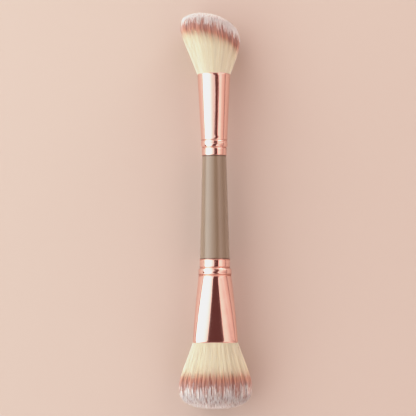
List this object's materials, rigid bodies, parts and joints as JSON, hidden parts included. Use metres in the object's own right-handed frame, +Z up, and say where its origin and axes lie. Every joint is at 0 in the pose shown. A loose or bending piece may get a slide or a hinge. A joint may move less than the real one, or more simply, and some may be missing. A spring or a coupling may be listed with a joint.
{
  "type": "double ended makeup brush",
  "caption": "Makeup brush with a slanted head at one end and a wide domed powder head at the other, joined by a tapered handle with a polished flared ferrule at each end.",
  "frame": {"origin": "on the table, under the middle of the brush's bounding box", "axes": "+Y along the brush towards the angled head, +X to the side that the angled head's slant drops to, +Z up from the table the brush lies on"},
  "size_m": [0.0342, 0.1859, 0.0239],
  "materials": {
    "handle": "satin taupe lacquer",
    "ferrule": "polished, rose gold",
    "bristles": "soft fibres, cream with a rust brown band and pale tips",
    "glue": "cast, plain"
  },
  "bodies": {
    "root": {"handle": "handle", "angled_ferrule": "ferrule", "powder_ferrule": "ferrule", "angled_bristles": "bristles", "powder_bristles": "bristles", "angled_glue_plug": "glue", "powder_glue_plug": "glue"}
  },
  "joints": []
}
